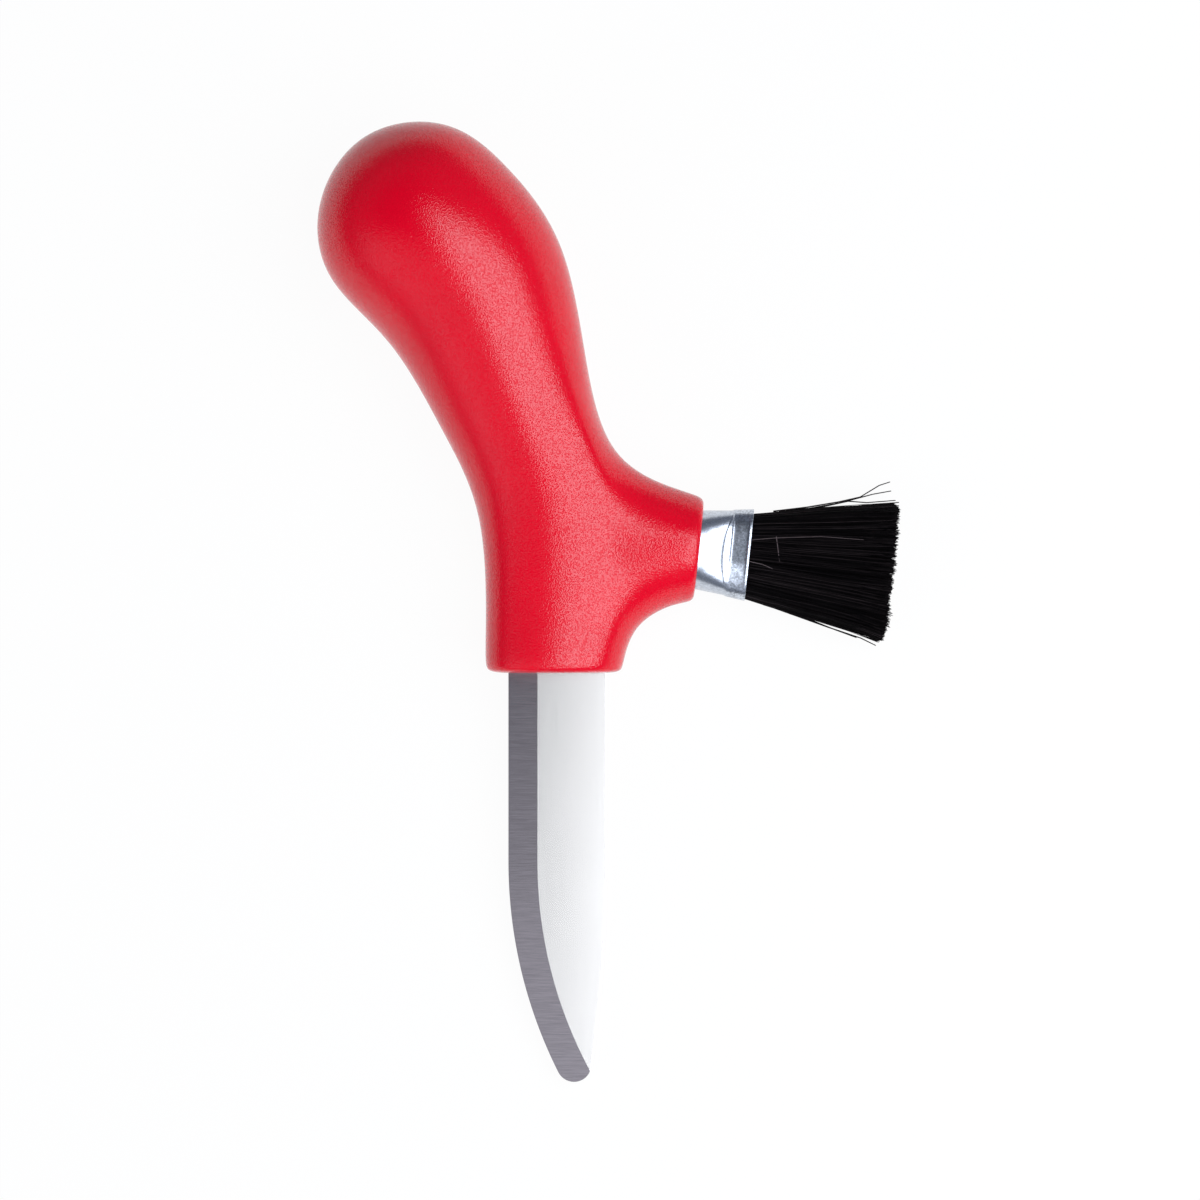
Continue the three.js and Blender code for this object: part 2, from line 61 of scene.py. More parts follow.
# The knife is modelled in its own plane, as it was drawn: x to the brush, y to the round end of the handle
# and z across the blade. The mount on the blade's upper flat, drawn at the flat point, says how that plane
# lies on the table.
UPPER_FLAT = next(mount for mount in frame["record"]["mounts"] if mount["name"] == "blade_flat_upper")
FLAT_POINT = Vector((3, -25, 1)) * MM
TILT = ALONG_Z.rotation_difference(Vector(UPPER_FLAT["axis"]))
LAID_AT = Vector(UPPER_FLAT["pos_m"]) - TILT @ FLAT_POINT
LIE = Matrix.Translation(LAID_AT) @ TILT.to_matrix().to_4x4()


def linear(colour):
    """An sRGB hex colour as linear red, green, blue and alpha."""
    parts = [int(colour[place:place + 2], 16) / 255 for place in (1, 3, 5)]
    return (*[part / 12.92 if part <= 0.04045 else ((part + 0.055) / 1.055) ** 2.4 for part in parts], 1)


def size(name, description, millimetres):
    """A length that a user may change."""
    return FloatProperty(
        name=name, description=description, default=millimetres * MM, unit="LENGTH", precision=5
    )


def brightness(name, description, radiance):
    """A brightness that a user may change, where 1 is white."""
    return FloatProperty(name=name, description=description, default=radiance, min=0)


def tint(name, description, colour):
    """A colour that a user may change."""
    return FloatVectorProperty(
        name=name, description=description, default=linear(colour), size=4, min=0, max=1, subtype="COLOR"
    )


class HandleSettings(bpy.types.PropertyGroup):
    """The moulded grip"""

    length: size("Length", "From the end face to the top of the round end", 95.2)
    bulb_radius: size("Bulb radius", "Radius of the round end, seen across the blade", 17.9)
    bulb_thickness: size("Bulb thickness", "Thickness of the round end", 33)
    end_width: size("End width", "Width of the end that the blade leaves", 23.4)
    end_thickness: size("End thickness", "Thickness of the end that the blade leaves", 18.6)
    nose_width: size("Nose width", "Width of the side branch that holds the brush", 18.2)
    nose_thickness: size("Nose thickness", "Thickness of the side branch that holds the brush", 18)
    colour: tint("Colour", "Colour of the plastic", "#DE0022")


class BladeSettings(bpy.types.PropertyGroup):
    """The ground steel strip"""

    length: size("Length", "From the handle to the tip", 70.3)
    width: size("Width", "From the edge to the spine", 16.8)
    thickness: size("Thickness", "Thickness of the strip", 2)
    bevel_width: size("Bevel width", "Width of the ground band along the edge", 5)
    flat_colour: tint("Flat colour", "Colour of the polished flats", "#DDDAD5")
    bevel_colour: tint("Bevel colour", "Colour of the ground band", "#C0B8BD")


class BrushSettings(bpy.types.PropertyGroup):
    """The brush on the handle's side"""

    ferrule_diameter: size("Ferrule diameter", "Diameter of the round end of the ferrule", 13.6)
    ferrule_reach: size("Ferrule reach", "How far the ferrule stands out of the handle", 8.7)
    mouth_thickness: size("Mouth thickness", "Thickness of the ferrule where it is pressed flat", 9.6)
    hair_length: size("Hair length", "Length of the hair outside the ferrule", 25)
    hair_thickness: size("Hair thickness", "Thickness of one hair", 0.14)
    loose_hair_thickness: size("Loose hair thickness", "Thickness of the hairs that stand off", 0.27)
    fan_width: size("Fan width", "Width of the brush at the tips of its hair", 23.8)
    fan_thickness: size("Fan thickness", "Thickness of the brush at the tips of its hair", 10.5)
    hair_count: IntProperty(name="Hairs", description="Number of hairs in each bundle", default=1500, min=1)
    ferrule_colour: tint("Ferrule colour", "Colour of the plated sheet", "#C9D0DB")
    # The crease colour is a painted shade: a darker grey that stands in for the shade in the pressed creases
    crease_shade_colour: tint("Crease painted shade", "Painted shade along the creases pressed into the sheet", "#9AA0AA")
    hair_colour: tint("Hair colour", "Colour of most of the hair", "#030203")
    loose_hair_colour: tint("Loose hair colour", "Colour of the few light hairs", "#6A6062")


class StageSettings(bpy.types.PropertyGroup):
    """The floor, the light and the camera"""

    camera_distance: size("Camera distance", "From the blade's plane to the camera", 1000)
    key_radiance: brightness("Key softbox", "Brightness of the softbox, where 1 is white", 4)
    fill_radiance: brightness("Fill panel", "Brightness of the fill panel, where 1 is white", 0.5)
    left_radiance: brightness("Left card", "Brightness of the low left card, where 1 is white", 2.4)
    ambient: brightness("Ambient", "Light from all round, where 1 is white", 0.08)
    light_colour: tint("Light colour", "Cool white of the lamps", "#F3F7FF")


class KnifeSettings(bpy.types.PropertyGroup):
    """All settings of the knife and its stage"""

    handle: PointerProperty(type=HandleSettings)
    blade: PointerProperty(type=BladeSettings)
    brush: PointerProperty(type=BrushSettings)
    stage: PointerProperty(type=StageSettings)


# Materials

# The colour sockets of a Mix node, which share their names with its other sockets
COLOUR_A = 6
COLOUR_B = 7
COLOUR_RESULT = 2


def add_node(tree, kind, inputs=None, **settings):
    """Adds a node with its settings, and sets or links its inputs."""
    node = tree.nodes.new("ShaderNode" + kind)
    for name, value in settings.items():
        setattr(node, name, value)
    for name, value in (inputs or {}).items():
        if isinstance(value, bpy.types.NodeSocket):
            tree.links.new(value, node.inputs[name])
        else:
            node.inputs[name].default_value = value
    return node


def noise(tree, place, width=1, detail=0, roughness=0.5):
    """A pattern of soft patches of this width, from 0 to 1."""
    return add_node(tree, "TexNoise", {
        "Vector": place, "Scale": 1 / width, "Detail": detail, "Roughness": roughness,
    }).outputs["Fac"]


def ranged(tree, value, wanted, given=(0, 1)):
    """A value moved from the given range to the wanted one, and held inside it."""
    return add_node(tree, "MapRange", {
        "Value": value, "From Min": given[0], "From Max": given[1], "To Min": wanted[0], "To Max": wanted[1],
    }).outputs["Result"]


def computed(tree, operation, first, second):
    """Two values put together."""
    return add_node(tree, "Math", {0: first, 1: second}, operation=operation).outputs["Value"]


def mixed(tree, share, first, second, blend="MIX"):
    """Two colours put together, the second by its share."""
    return add_node(tree, "Mix", {
        "Factor": share, COLOUR_A: first, COLOUR_B: second,
    }, data_type="RGBA", blend_type=blend).outputs[COLOUR_RESULT]


def relief(tree, pattern, height):
    """The normals of a surface with a pattern raised on it."""
    return add_node(tree, "Bump", {"Height": pattern, "Distance": height, "Strength": 1}).outputs["Normal"]


def new_material(name):
    """A material and its tree, still empty."""
    material = bpy.data.materials.new(name)
    material.use_nodes = True
    material.node_tree.nodes.clear()
    return material, material.node_tree


def finished(material, inputs):
    """The material with a shader that has these inputs."""
    shader = add_node(material.node_tree, "BsdfPrincipled", inputs)
    add_node(material.node_tree, "OutputMaterial", {"Surface": shader.outputs["BSDF"]})
    return material


def plane_coordinates(tree, place=LIE, turn=0, stretch=(1, 1, 1)):
    """Millimetres in the knife's plane, or in another place's frame, turned and stretched for a pattern."""
    position = add_node(tree, "TexCoord").outputs["Object"]
    local = add_node(tree, "Mapping", {
        "Vector": position,
        "Location": place.to_translation(),
        "Rotation": place.to_euler(),
        "Scale": (MM, MM, MM),
    }, vector_type="TEXTURE")
    return add_node(tree, "Mapping", {
        "Vector": local.outputs["Vector"],
        "Rotation": (0, 0, turn),
        "Scale": [1 / length for length in stretch],
    }, vector_type="POINT").outputs["Vector"]


def moulded_polypropylene(colour):
    """Polypropylene moulded in a spark-eroded tool: a fine grain breaks the soft highlight into specks.

    The real grain is finer than a pixel, so it is drawn about twice as coarse.
    """
    grain_width = 0.24
    grain_height = 0.042 * MM
    grain_range = (0.35, 0.65)
    pit_range = (0.4, 0.54)
    patch_width = 9
    patch_shades = (0.94, 1.06)
    material, tree = new_material("polypropylene_spark_eroded")
    place = plane_coordinates(tree)
    grain = noise(tree, place, grain_width)
    shades = ranged(tree, noise(tree, place, patch_width, detail=3), patch_shades)
    return finished(material, {
        "Base Color": mixed(tree, 1.0, tuple(colour), shades, "MULTIPLY"),
        # The pits of the grain are duller and mirror little of the light
        "Roughness": ranged(tree, grain, (0.24, 0.15), grain_range),
        "Specular IOR Level": ranged(tree, grain, (0.22, 0.62), pit_range),
        "IOR": 1.49,
        "Normal": relief(tree, grain, grain_height),
    })


def polished_steel(colour):
    """Rolled stainless strip, polished along the blade: nearly a mirror, with faint long lines."""
    line_width = 0.12
    line_length = 14
    material, tree = new_material("stainless_strip_polished")
    place = plane_coordinates(tree, stretch=(line_width, line_length, 1))
    return finished(material, {
        "Base Color": tuple(colour),
        "Metallic": 1,
        "Roughness": ranged(tree, noise(tree, place, detail=3), (0.16, 0.24)),
    })


def ground_steel(colour):
    """Stainless steel from the grinding belt: a satin band with fine lines across it.

    The lines are drawn a few times wider than the belt's grit leaves them, so that they show.
    """
    line_width = 0.18
    line_length = 9
    line_turn = math.radians(-7)
    line_height = 0.004 * MM
    line_range = (0.35, 0.65)
    line_shades = (0.88, 1.12)
    patch_width = 8.33
    material, tree = new_material("stainless_ground_bevel")
    place = plane_coordinates(tree, turn=line_turn, stretch=(line_length, line_width, 1))
    lines = noise(tree, place, detail=3, roughness=0.65)
    patches = noise(tree, plane_coordinates(tree), patch_width, detail=1)
    shades = ranged(tree, lines, line_shades, line_range)
    return finished(material, {
        "Base Color": mixed(tree, 1.0, tuple(colour), shades, "MULTIPLY"),
        "Metallic": 1,
        "Roughness": 0.27,
        "Normal": relief(tree, computed(tree, "MULTIPLY", lines, patches), line_height),
    })


def tin_plate(name, colour):
    """Bright tin-plated sheet: a bluish mirror, with dull specks, most where the mouth band was rolled."""
    speck_width = 0.42
    speck_range = (0.4, 0.62)
    speck_shades = (0.62, 1.25)
    dent_width = 2
    dent_height = 0.045 * MM
    band_start = (5.6, 6.1)
    speck_shares = (0.4, 1)
    material, tree = new_material(name)
    place = plane_coordinates(tree, BRUSH_PLACE)
    along = add_node(tree, "SeparateXYZ", {"Vector": place}).outputs["X"]
    share = ranged(tree, along, speck_shares, band_start)
    specks = noise(tree, place, speck_width, detail=3, roughness=0.6)
    shades = ranged(tree, specks, speck_shades, speck_range)
    return finished(material, {
        "Base Color": mixed(tree, share, tuple(colour), shades, "MULTIPLY"),
        "Metallic": 1,
        "Roughness": ranged(tree, specks, (0.36, 0.22)),
        "Normal": relief(tree, noise(tree, place, dent_width, detail=1), dent_height),
    })


def brush_hair(name, colour):
    """Natural hair, cut across: a dull gloss, and a few hairs lighter and browner than the rest."""
    streak_width = 0.3
    streak_length = 12
    light_rarity = 4
    light_colour = linear("#3A3335")
    material, tree = new_material(name)
    place = plane_coordinates(tree, BRUSH_PLACE, stretch=(streak_length, streak_width, streak_width))
    each = add_node(tree, "NewGeometry").outputs["Random Per Island"]
    few = computed(tree, "POWER", each, light_rarity)
    lightness = computed(tree, "MULTIPLY", few, noise(tree, place, detail=2))
    return finished(material, {
        "Base Color": mixed(tree, lightness, tuple(colour), light_colour),
        "Roughness": ranged(tree, each, (0.42, 0.62)),
        "Specular IOR Level": 0.045,
    })


def cast_resin():
    """Brown resin cast round the roots of the hair: glossy, with a cloudy depth."""
    cloud_width = 1.5
    material, tree = new_material("resin_cast")
    clouds = noise(tree, plane_coordinates(tree, BRUSH_PLACE), cloud_width, detail=2)
    return finished(material, {
        "Base Color": mixed(tree, clouds, linear("#7A5A30"), linear("#9A7B4A")),
        "Roughness": 0.35,
    })


# Modelling


def spoke(index, count):
    """A point of the unit circle."""
    turn = 2 * math.pi * index / count
    return Vector((math.cos(turn), math.sin(turn), 0))


def new_loop(bm, points):
    """A closed loop of edges through the points."""
    made = bmesh.ops.create_circle(bm, segments=len(points), radius=1)
    for vert, point in zip(made["verts"], points):
        vert.co = point
    return made["verts"]


def drawn_loop(bm, loop, points):
    """Extrudes a loop and puts its new vertices on the points. Returns the new loop."""
    edges = [bm.edges.get(pair) for pair in zip(loop, loop[1:] + loop[:1])]
    made = bmesh.ops.extrude_edge_only(bm, edges=edges)
    fresh = {part for part in made["geom"] if isinstance(part, bmesh.types.BMVert)}
    drawn = []
    for vert, point in zip(loop, points):
        neighbours = [edge.other_vert(vert) for edge in vert.link_edges]
        follower = next(neighbour for neighbour in neighbours if neighbour in fresh)
        follower.co = point
        drawn.append(follower)
    return drawn


def close_loop(bm, loop, middle):
    """Closes a loop with four-sided faces round a middle point."""
    face = bm.faces.new(loop)
    centre = bmesh.ops.poke(bm, faces=[face])["verts"][0]
    centre.co = middle
    bmesh.ops.dissolve_edges(bm, edges=[bm.edges.get((centre, vert)) for vert in loop[1::2]])


def new_piece(bm, name, materials, nodes=(), sharp=None):
    """Lays a modelled mesh down with the knife as a piece of it, with its materials, in place of its CAD
    nodes.
    """
    bmesh.ops.recalc_face_normals(bm, faces=bm.faces)
    bm.transform(LIE)
    mesh = bpy.data.meshes.new(name)
    bm.to_mesh(mesh)
    bm.free()
    return mesh_piece(mesh, name, materials, nodes, sharp)


def mesh_piece(mesh, name, materials, nodes=(), sharp=None):
    """Makes a finished mesh a piece of the knife."""
    mesh.shade_smooth()
    if sharp is not None:
        mesh.set_sharp_from_angle(angle=sharp)
    for material in materials:
        mesh.materials.append(material)
    piece = bpy.data.objects.new(name, mesh)
    bpy.context.scene.collection.objects.link(piece)
    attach(piece, BODY)
    if nodes:
        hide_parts(*nodes)
    return piece


def smooth_by_subdivision(piece, levels):
    """Rounds a piece with a subdivision surface, and keeps the rounded mesh."""
    modifier = piece.modifiers.new("smooth", "SUBSURF")
    modifier.levels = levels
    modifier.render_levels = levels
    cage = piece.data
    ready = piece.evaluated_get(bpy.context.evaluated_depsgraph_get())
    piece.data = bpy.data.meshes.new_from_object(ready)
    piece.modifiers.clear()
    bpy.data.meshes.remove(cage)


# Handle

RING_POINTS = 8
# The smoothing pulls a ring inwards, and this much swell brings its skin back to the wanted size.
RING_SWELL = 3 / (2 + math.cos(2 * math.pi / RING_POINTS))
# What a corner point's push takes from the points beside it, so that the width stays
SQUARE_DRAW = -math.cos(2 * math.pi / RING_POINTS) / 2
FIT_PASSES = 30
HANDLE_SMOOTHING = 4
QUARTER_TURN = math.pi / 2


def section(shift, height, lean, width, thickness, squareness=0):
    """A section across the handle: its middle and lean, half its width and thickness, and its squareness."""
    return (shift, height, lean, width / 2, thickness / 2, squareness)


def moulded_section(shift, height, lean, width, thickness, squareness=0):
    """The same from millimetres and degrees."""
    return section(shift * MM, height * MM, math.radians(lean), width * MM, thickness * MM, squareness)


BULB_SHIFT = -23 * MM
BULB_LEAN = math.radians(32)
# How far the bulb's pole is drawn out, as a share of its radius
BULB_POLE_LIFT = 0.31
SHOULDER = moulded_section(shift=-13.4, height=64.8, lean=28.5, width=33.8, thickness=31)
WAIST = moulded_section(shift=-6.5, height=46.8, lean=22, width=27.3, thickness=25, squareness=0.02)
NECK = moulded_section(shift=-1.2, height=27.4, lean=9, width=23.4, thickness=20.6, squareness=0.05)
END_ROUNDING = 6 * MM
END_SQUARENESS = 0.09
# The place of the waist among the rings, counted from the one next to the pole
WAIST_RING = 3

# The nose holds the brush, which points a little down towards the blade.
BRUSH_ANGLE = math.radians(-6)
NOSE_END = Vector((25, 21.2, 0)) * MM
NOSE_ROUNDING = 3.5 * MM
NOSE_FLARE = 1 * MM
NOSE_ROOT = moulded_section(shift=11.6, height=22.2, lean=98.5, width=27.8, thickness=17.8)
NOSE_SADDLE_THICKNESS = 17.6 * MM
SOCKET_PLAY = 0.15 * MM
SOCKET_ROUNDING = 0.35 * MM
SOCKET_STRAIGHT_FROM = 1.05 * MM
SOCKET_DEPTH = 10.3 * MM
SOCKET_SQUARENESS = 0.115
BRUSH_IN_PLANE = Matrix.Translation(NOSE_END) @ Matrix.Rotation(BRUSH_ANGLE, 4, "Z")
BRUSH_PLACE = LIE @ BRUSH_IN_PLANE


def cage_through(sections):
    """Rings whose smooth skin passes through the sections. The first and the last ring stay as given."""
    rings = [list(values) for values in sections]
    for _ in range(FIT_PASSES):
        for place in range(1, len(rings) - 1):
            before, ring, after = rings[place - 1:place + 2]
            # Smoothing leaves the skin at this mean of a ring and its neighbours
            skin = [(a + 4 * b + c) / 6 for a, b, c in zip(before, ring, after)]
            rings[place] = [
                value + wanted - reached for value, wanted, reached in zip(ring, sections[place], skin)
            ]
    return rings


def ring_points(ring):
    """The points of a ring, the first on the brush side of the handle, or on the upper side of the nose."""
    shift, height, lean, half_width, half_thickness, squareness = ring
    across = Vector((math.cos(lean), math.sin(lean), 0)) * half_width * RING_SWELL
    points = []
    for index in range(RING_POINTS):
        at_corner = index % 2
        around = spoke(index, RING_POINTS) * (1 + squareness * (1 if at_corner else SQUARE_DRAW))
        middle = Vector((shift, height, half_thickness * RING_SWELL * around.y))
        points.append(middle + across * around.x)
    return points


def handle_rings(handle):
    """The pole of the bulb and the rings down the handle to its end face."""
    bulb_middle = Vector((BULB_SHIFT, handle.length - handle.bulb_radius, 0))
    outwards = Vector((-math.sin(BULB_LEAN), math.cos(BULB_LEAN), 0))

    def on_bulb(turn):
        place = bulb_middle + outwards * handle.bulb_radius * math.cos(turn)
        share = math.sin(turn)
        return section(
            place.x, place.y, BULB_LEAN, 2 * handle.bulb_radius * share, handle.bulb_thickness * share
        )

    pole = bulb_middle + outwards * handle.bulb_radius * (1 + BULB_POLE_LIFT)
    rings = cage_through([
        section(pole.x, pole.y, BULB_LEAN, 0, 0),
        on_bulb(QUARTER_TURN / 2),
        on_bulb(QUARTER_TURN),
        SHOULDER,
        WAIST,
        NECK,
        section(0, END_ROUNDING, 0, handle.end_width, handle.end_thickness, END_SQUARENESS),
        section(0, 0, 0, handle.end_width, handle.end_thickness, END_SQUARENESS),
    ])
    inset = 2 * END_ROUNDING
    face = section(0, 0, 0, handle.end_width - inset, handle.end_thickness - inset, END_SQUARENESS)
    return pole, [*rings[1:], face]


def nose_rings(handle, brush):
    """The rings of the nose out to its flat end, and on into the socket that the ferrule sits in."""

    def across(back, width, thickness, squareness=0):
        place = BRUSH_IN_PLANE @ Vector((-back, 0, 0))
        return section(place.x, place.y, BRUSH_ANGLE + QUARTER_TURN, width, thickness, squareness)

    bore = brush.ferrule_diameter + 2 * SOCKET_PLAY
    rim = bore + 2 * SOCKET_ROUNDING
    return [
        NOSE_ROOT,
        across(NOSE_ROUNDING, handle.nose_width + NOSE_FLARE, handle.nose_thickness),
        across(0, handle.nose_width, handle.nose_thickness),
        across(0, rim, rim, SOCKET_SQUARENESS),
        across(SOCKET_ROUNDING, bore, bore, SOCKET_SQUARENESS),
        across(SOCKET_STRAIGHT_FROM, bore, bore, SOCKET_SQUARENESS),
        across(SOCKET_DEPTH, bore, bore, SOCKET_SQUARENESS),
    ]


def model_handle(handle, brush):
    """The coarse cage of the handle, which a subdivision surface then rounds."""
    bm = bmesh.new()
    pole, rings = handle_rings(handle)
    loops = [new_loop(bm, ring_points(rings[0]))]
    for ring in rings[1:]:
        loops.append(drawn_loop(bm, loops[-1], ring_points(ring)))
    close_loop(bm, loops[0], pole)
    close_loop(bm, loops[-1], Vector())

    # The four faces between the waist, the neck and the end on the brush side make way for the nose.
    waist, neck, end = loops[WAIST_RING:WAIST_RING + 3]
    # The saddle points beside its root keep the skin from sinking in there.
    for saddle in (neck[1], neck[-1]):
        saddle.co.z = math.copysign(NOSE_SADDLE_THICKNESS * RING_SWELL / 2, saddle.co.z)
    around_nose = [waist[0], waist[1], neck[1], end[1], end[0], end[-1], neck[-1], waist[-1]]
    bmesh.ops.delete(bm, geom=list(neck[0].link_faces), context="FACES")
    loop = around_nose
    for ring in nose_rings(handle, brush):
        loop = drawn_loop(bm, loop, ring_points(ring))
    close_loop(bm, loop, sum((vert.co for vert in loop), Vector()) / len(loop))
    return bm


# Blade

BLADE_SHIFT = 0.65 * MM
BLADE_STRAIGHT = 32.5 * MM
BLADE_ROOT = 2.5 * MM
TIP_RADIUS = 3 * MM
TIP_SHIFT = 2.85 * MM
EDGE_THICKNESS = 0.1 * MM
# The last of the bevel is honed a little steeper.
HONED_WIDTH = 0.5 * MM
HONED_SLOPE = math.tan(math.radians(12))
BLADE_ROUNDING = 0.12 * MM
ROUND_PROFILE = 0.5
MERGE_DISTANCE = 0.01 * MM
CUTTER_OVERRUN = 1 * MM
ARC_STEPS = 32
TIP_STEPS = 16
SHARP_ANGLE = math.radians(4)
# How much of an edge's direction runs along the blade, and how much of a face's normal across it
LENGTHWISE = 0.5
UPRIGHT = 0.1
SLOPED = 0.5
LEVEL = 0.999


class BladePlan:
    """The lines of the blade's outline in the knife's plane, worked out from its sizes."""

    def __init__(self, blade):
        self.edge_x = BLADE_SHIFT - blade.width / 2
        self.spine_x = BLADE_SHIFT + blade.width / 2
        self.tip = Vector((BLADE_SHIFT + TIP_SHIFT, TIP_RADIUS - blade.length, 0))
        self.curved = blade.length - TIP_RADIUS - BLADE_STRAIGHT
        self.edge_radius = self.arc_radius(self.tip.x - self.edge_x)
        self.spine_radius = self.arc_radius(self.spine_x - self.tip.x)
        self.edge_centre = Vector((self.edge_x + self.edge_radius, -BLADE_STRAIGHT, 0))
        self.spine_centre = Vector((self.spine_x - self.spine_radius, -BLADE_STRAIGHT, 0))
        self.edge_turn = math.atan2(self.curved, self.edge_centre.x - self.tip.x)
        self.spine_turn = math.atan2(self.curved, self.tip.x - self.spine_centre.x)

    def arc_radius(self, side):
        """Radius of the arc that leaves a line this far beside the tip's centre and runs into the tip."""
        return (side ** 2 + self.curved ** 2 - TIP_RADIUS ** 2) / (2 * (side - TIP_RADIUS))


def spun(bm, geometry, centre, turn, steps):
    """Sweeps geometry round a point of the knife's plane. Returns the far end."""
    made = bmesh.ops.spin(bm, geom=geometry, cent=centre, axis=ALONG_Z, angle=turn, steps=steps)
    return made["geom_last"]


def model_strip(blade, plan):
    """The blade's strip before it is ground, running a little way into the handle."""
    bm = bmesh.new()
    root = [bm.verts.new((x, BLADE_ROOT, 0)) for x in (plan.spine_x, plan.edge_x)]
    shoulder = bm.verts.new((plan.edge_x, -BLADE_STRAIGHT, 0))
    end = spun(bm, [shoulder], plan.edge_centre, plan.edge_turn, ARC_STEPS)
    end = spun(bm, end, plan.tip, math.pi - plan.edge_turn - plan.spine_turn, TIP_STEPS)
    end = spun(bm, end, plan.spine_centre, plan.spine_turn, ARC_STEPS)
    for pair in (root, (root[1], shoulder), (end[0], root[0])):
        bm.edges.new(pair)
    bmesh.ops.edgeloop_fill(bm, edges=bm.edges)
    bmesh.ops.translate(bm, vec=-ALONG_Z * blade.thickness / 2, verts=bm.verts)
    made = bmesh.ops.extrude_face_region(bm, geom=bm.faces)
    upper = [part for part in made["geom"] if isinstance(part, bmesh.types.BMVert)]
    bmesh.ops.translate(bm, vec=ALONG_Z * blade.thickness, verts=upper)
    bmesh.ops.recalc_face_normals(bm, faces=bm.faces)
    return bm


def model_grinding(blade, plan, side):
    """What the grinder takes off one side of the blade: a wedge swept along the edge and past its ends."""
    bm = bmesh.new()
    honed = EDGE_THICKNESS / 2 + HONED_WIDTH * HONED_SLOPE
    slope = (blade.thickness / 2 - honed) / (blade.bevel_width - HONED_WIDTH)
    inner = blade.bevel_width + CUTTER_OVERRUN
    top = honed + slope * (inner - HONED_WIDTH)
    profile = [
        (-CUTTER_OVERRUN, EDGE_THICKNESS / 2 - CUTTER_OVERRUN * HONED_SLOPE),
        (HONED_WIDTH, honed),
        (inner, top),
        (-CUTTER_OVERRUN, top),
    ]
    start = BLADE_ROOT + CUTTER_OVERRUN
    face = bm.faces.new([bm.verts.new((plan.edge_x + inward, start, side * z)) for inward, z in profile])
    made = bmesh.ops.extrude_face_region(bm, geom=[face])
    moved = [part for part in made["geom"] if isinstance(part, bmesh.types.BMVert)]
    bmesh.ops.translate(bm, vec=(0, -BLADE_STRAIGHT - start, 0), verts=moved)
    end_face = next(part for part in made["geom"] if isinstance(part, bmesh.types.BMFace))
    reach = blade.length + CUTTER_OVERRUN - BLADE_STRAIGHT
    sweep = math.asin(reach / (plan.edge_radius - blade.bevel_width))
    spun(bm, [end_face, *end_face.edges, *end_face.verts], plan.edge_centre, sweep, ARC_STEPS)
    bmesh.ops.recalc_face_normals(bm, faces=bm.faces)
    return bm


def round_spine(bm):
    """Rounds the long edges between the flats and the spine."""
    corners = []
    for edge in bm.edges:
        tilts = sorted(abs(face.normal.z) for face in edge.link_faces)
        along = abs((edge.verts[0].co - edge.verts[1].co).normalized().y)
        if along > LENGTHWISE and tilts[0] < UPRIGHT and tilts[-1] > LEVEL:
            corners.append(edge)
    bmesh.ops.bevel(
        bm,
        geom=corners,
        offset=BLADE_ROUNDING,
        affect="EDGES",
        segments=2,
        profile=ROUND_PROFILE,
        material=-1,
    )
    bm.normal_update()


def scratch_object(bm, name):
    """A working object from a mesh, to cut with or be cut."""
    mesh = bpy.data.meshes.new(name)
    bm.to_mesh(mesh)
    bm.free()
    made = bpy.data.objects.new(name, mesh)
    bpy.context.scene.collection.objects.link(made)
    return made


def cut_away(bm, cutters):
    """The mesh less the cutters."""
    base = scratch_object(bm, "strip")
    wastes = [scratch_object(cutter, "grinding") for cutter in cutters]
    for waste in wastes:
        modifier = base.modifiers.new("cut", "BOOLEAN")
        modifier.operation = "DIFFERENCE"
        modifier.solver = "EXACT"
        modifier.object = waste
    ready = base.evaluated_get(bpy.context.evaluated_depsgraph_get())
    result = bmesh.new()
    result.from_mesh(ready.to_mesh())
    ready.to_mesh_clear()
    for made in (base, *wastes):
        mesh = made.data
        bpy.data.objects.remove(made)
        bpy.data.meshes.remove(mesh)
    if not result.faces:
        raise RuntimeError("The grinding left nothing of the blade")
    return result


# Brush

FERRULE_POINTS = 96
FERRULE_WALL = 0.4 * MM
FERRULE_SEAT = 10 * MM
FERRULE_SMOOTHING = 2
# The tube turns flat-sided towards its mouth: the power of its section's curve, where an ellipse has two.
ROUND_POWER = 2
SEAT_POWER = 2.5
FLAT_POWER = 3.2
SHOULDER_REACH = 0.8 * MM
# The mouth band is rolled down behind a crimp line, flares a little and ends in a lip.
MOUTH_BAND = 3.2 * MM
CRIMP_DEPTH = 0.3 * MM
CRIMP_WIDTH = 0.3 * MM
MOUTH_FLARE = 0.31 * MM
LIP_HEIGHT = 0.1 * MM
LIP_LENGTH = 0.55 * MM
# The press leaves a crease that bows towards the handle, and a level face between it and the crimp line.
CREASE_REACH = 4 * MM
CREASE_BOW = 0.95 * MM
CREASE_DEPTH = 0.04 * MM
CREASE_HALF_WIDTH = 6 * MM
# How far the painted shade runs each way along the crease
CREASE_SHADE_HALF_LENGTH = 5.3 * MM
CREASE_STEP = 0.06 * MM
CREASE_MARGIN = 0.24 * MM
PRESSED_RISE = 0.1 * MM
# The sheet's end laps over the band on one side, and stands up most where the band is lowest.
LAP_EDGE = -1.8 * MM
LAP_HEIGHT = 0.24 * MM

BUNDLE_COUNT = 4
HAIR_ROOT_DEPTH = 2 * MM
HAIR_STEPS = 5
HAIR_TIP_SHARE = 0.6
HAIR_UNEVENNESS = 0.85 * MM
HAIR_WAVE = 0.3 * MM
# The hair gathers into pointed locks of uneven length, is worn at the corners and bows in on one side.
LOCK_COUNT = 260
LOCK_PULL = 0.75
LOCK_TAPER = 0.7
LOCK_UNEVENNESS = 0.28 * MM
CORNER_WEAR = 0.5 * MM
CORNER_POWER = 6
SIDE_BOW = 0.5 * MM
ROOT_SHARE = 0.93
ROOT_SKEW = -0.2 * MM
FAN_SKEW = -0.5 * MM
SEED = 7


